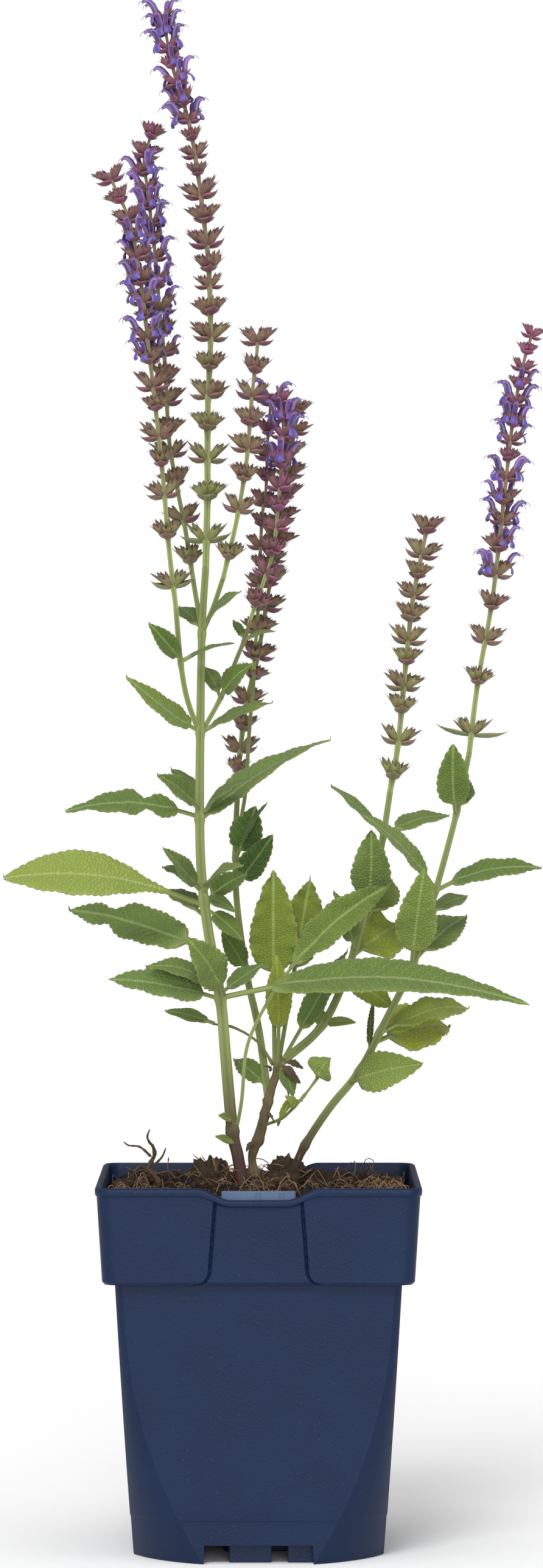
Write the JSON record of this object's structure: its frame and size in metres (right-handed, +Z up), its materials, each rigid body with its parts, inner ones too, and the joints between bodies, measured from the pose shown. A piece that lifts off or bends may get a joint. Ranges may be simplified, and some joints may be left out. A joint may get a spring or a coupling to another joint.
{
  "type": "perennial salvia in a nursery pot",
  "caption": "Young perennial salvia with upright violet flower spikes and crinkled green leaves, rooted in a square tapered plastic nursery pot.",
  "frame": {"origin": "centre of the flat foot under the pot's floor, on the plane that the pot stands on", "axes": "+Z up along the plant, +X to the plant's right as seen from the front, +Y to the back; the dipped, bayed sides of the collar face -Y and +Y"},
  "size_m": [0.1869, 0.11, 0.5376],
  "materials": {
    "pot": "dark blue moulded polypropylene with a fine grain",
    "soil": "dark fibrous peat",
    "leaf": "soft matt green leaves with a raised net of veins, and green to purple stems",
    "spike": "matt purple-brown calyces and bracts",
    "flower": "violet petals"
  },
  "bodies": {
    "root": {"pot": "pot", "soil": "soil", "stem_main": "leaf", "stem_rear": "leaf", "stem_right": "leaf", "spike_tall": "spike", "spike_left": "spike", "spike_back": "spike", "spike_middle": "spike", "spike_purple": "spike", "spike_thin": "spike", "spike_rear": "spike", "spike_green": "spike", "spike_right": "spike"}
  },
  "joints": []
}
